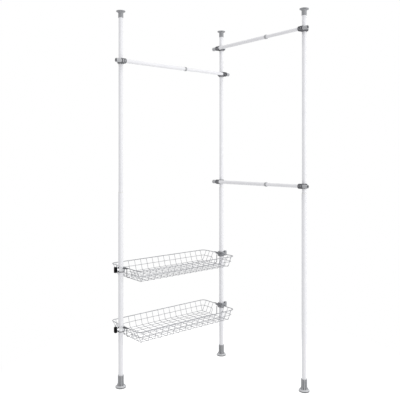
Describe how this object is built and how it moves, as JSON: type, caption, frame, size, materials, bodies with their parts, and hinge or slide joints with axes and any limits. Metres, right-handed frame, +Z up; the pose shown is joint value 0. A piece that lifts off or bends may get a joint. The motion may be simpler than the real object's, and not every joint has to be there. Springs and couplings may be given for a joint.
{
  "type": "open frame wardrobe",
  "caption": "Open corner wardrobe of white telescopic floor-to-ceiling posts with clamped hanging rails and wire baskets between the posts.",
  "frame": {"origin": "on the floor, on the axis of the corner post", "axes": "+Z up along the posts, -X from the corner post to the left post, -Y from the corner post to the right post"},
  "size_m": [0.9593, 1.0075, 2.4],
  "materials": {
    "white_coat": "white powder coat on steel tube",
    "grey_plastic": "moulded mid grey plastic",
    "dark_plastic": "moulded dark grey plastic",
    "chrome_steel": "chrome plated steel clamp",
    "white_plastic": "natural moulded plastic",
    "black_plastic": "moulded black plastic",
    "black_rubber": "moulded rubber",
    "zinc_steel": "zinc plated steel",
    "dark_steel": "dark grey coat on steel",
    "chrome_wire": "chrome plated steel wire"
  },
  "bodies": {
    "left_bay_base": {"left_lower_tube": "white_coat", "corner_lower_tube": "white_coat", "left_bay_lock_bushes": "white_plastic", "left_bay_spindle_nuts": "white_plastic"},
    "left_bay_uppers": {"left_upper_tube": "white_coat", "corner_upper_tube": "white_coat", "left_top_cap": "grey_plastic", "corner_top_cap": "grey_plastic"},
    "right_lower_post": {"right_lower_tube": "white_coat", "right_lock_bush": "white_plastic", "right_spindle_nut": "white_plastic"},
    "right_upper_post": {"right_upper_tube": "white_coat", "right_top_cap": "grey_plastic"},
    "left_rail": {"left_rail_outer_tube": "white_coat", "left_rail_inner_tube": "white_coat", "left_rail_collar": "grey_plastic", "left_rail_end_caps": "grey_plastic", "left_rail_clamps": "dark_plastic", "left_rail_clamp_screws": "zinc_steel"},
    "right_top_rail_outer_half": {"right_top_rail_outer_tube": "white_coat", "right_top_rail_collar": "grey_plastic", "right_top_rail_corner_end_cap": "grey_plastic", "right_top_rail_corner_clamp": "dark_plastic", "right_top_rail_corner_clamp_screw": "zinc_steel"},
    "right_top_rail_inner_half": {"right_top_rail_inner_tube": "white_coat", "right_top_rail_right_end_cap": "grey_plastic", "right_top_rail_right_clamp": "dark_plastic", "right_top_rail_right_clamp_screw": "zinc_steel"},
    "right_mid_rail_outer_half": {"right_mid_rail_outer_tube": "white_coat", "right_mid_rail_collar": "grey_plastic", "right_mid_rail_corner_end_cap": "grey_plastic", "right_mid_rail_corner_clamp": "dark_plastic", "right_mid_rail_corner_clamp_screw": "zinc_steel"},
    "right_mid_rail_inner_half": {"right_mid_rail_inner_tube": "white_coat", "right_mid_rail_right_end_cap": "grey_plastic", "right_mid_rail_right_clamp": "dark_plastic", "right_mid_rail_right_clamp_screw": "zinc_steel"},
    "upper_basket": {"upper_basket_rim": "chrome_wire", "upper_basket_floor": "chrome_wire", "upper_basket_walls": "chrome_wire", "upper_basket_clamp_rings": "chrome_steel", "upper_basket_brackets": "dark_steel"},
    "upper_basket_left_knob": {"upper_basket_left_knob": "black_plastic"},
    "upper_basket_corner_knob": {"upper_basket_corner_knob": "grey_plastic"},
    "lower_basket": {"lower_basket_rim": "chrome_wire", "lower_basket_floor": "chrome_wire", "lower_basket_walls": "chrome_wire", "lower_basket_clamp_rings": "chrome_steel", "lower_basket_brackets": "dark_steel"},
    "lower_basket_left_knob": {"lower_basket_left_knob": "black_plastic"},
    "lower_basket_corner_knob": {"lower_basket_corner_knob": "grey_plastic"},
    "left_foot": {"left_foot_shell": "grey_plastic", "left_foot_pad": "black_rubber", "left_foot_spindle": "zinc_steel"},
    "corner_foot": {"corner_foot_shell": "grey_plastic", "corner_foot_pad": "black_rubber", "corner_foot_spindle": "zinc_steel"},
    "right_foot": {"right_foot_shell": "grey_plastic", "right_foot_pad": "black_rubber", "right_foot_spindle": "zinc_steel"}
  },
  "joints": [
    {"name": "post_height", "type": "slide", "parent": "left_bay_base", "child": "left_bay_uppers", "axis": [0, 0, 1], "range_m": [0, 0.55]},
    {"name": "right_bay_width", "type": "slide", "parent": "left_bay_base", "child": "right_lower_post", "axis": [0, -1, 0], "range_m": [-0.2, 0.2]},
    {"name": "right_post_height", "type": "slide", "parent": "right_lower_post", "child": "right_upper_post", "axis": [0, 0, 1], "range_m": [0, 0.55]},
    {"name": "left_rail_height", "type": "slide", "parent": "left_bay_uppers", "child": "left_rail", "axis": [0, 0, 1], "range_m": [-0.4, 0.07]},
    {"name": "right_top_rail_height", "type": "slide", "parent": "left_bay_uppers", "child": "right_top_rail_outer_half", "axis": [0, 0, 1], "range_m": [-0.07, 0.06]},
    {"name": "right_top_rail_length", "type": "slide", "parent": "right_top_rail_outer_half", "child": "right_top_rail_inner_half", "axis": [0, -1, 0], "range_m": [-0.2, 0.2]},
    {"name": "right_mid_rail_height", "type": "slide", "parent": "left_bay_uppers", "child": "right_mid_rail_outer_half", "axis": [0, 0, 1], "range_m": [-0.02, 0.3]},
    {"name": "right_mid_rail_length", "type": "slide", "parent": "right_mid_rail_outer_half", "child": "right_mid_rail_inner_half", "axis": [0, -1, 0], "range_m": [-0.2, 0.2]},
    {"name": "upper_basket_height", "type": "slide", "parent": "left_bay_base", "child": "upper_basket", "axis": [0, 0, 1], "range_m": [-0.12, 0.4]},
    {"name": "upper_basket_left_knob_turn", "type": "hinge", "parent": "upper_basket", "child": "upper_basket_left_knob", "pos_m": [-0.86, 0, 0.752], "axis": [-1, 0, 0], "range_deg": [0, 720]},
    {"name": "upper_basket_corner_knob_turn", "type": "hinge", "parent": "upper_basket", "child": "upper_basket_corner_knob", "pos_m": [0, 0, 0.752], "axis": [1, 0, 0], "range_deg": [0, 720]},
    {"name": "lower_basket_height", "type": "slide", "parent": "left_bay_base", "child": "lower_basket", "axis": [0, 0, 1], "range_m": [-0.2, 0.12]},
    {"name": "lower_basket_left_knob_turn", "type": "hinge", "parent": "lower_basket", "child": "lower_basket_left_knob", "pos_m": [-0.86, 0, 0.372], "axis": [-1, 0, 0], "range_deg": [0, 720]},
    {"name": "lower_basket_corner_knob_turn", "type": "hinge", "parent": "lower_basket", "child": "lower_basket_corner_knob", "pos_m": [0, 0, 0.372], "axis": [1, 0, 0], "range_deg": [0, 720]},
    {"name": "left_foot_turn", "type": "hinge", "parent": "left_bay_base", "child": "left_foot", "pos_m": [-0.86, 0, 0], "axis": [0, 0, 1], "continuous": true},
    {"name": "corner_foot_turn", "type": "hinge", "parent": "left_bay_base", "child": "corner_foot", "pos_m": [0, 0, 0], "axis": [0, 0, 1], "continuous": true},
    {"name": "right_foot_turn", "type": "hinge", "parent": "right_lower_post", "child": "right_foot", "pos_m": [0, -0.78, 0], "axis": [0, 0, 1], "continuous": true}
  ],
  "couplings": [
    {"joint": "right_post_height", "follows": "post_height", "ratio": 1},
    {"joint": "right_top_rail_length", "follows": "right_bay_width", "ratio": 1},
    {"joint": "right_mid_rail_length", "follows": "right_bay_width", "ratio": 1}
  ]
}
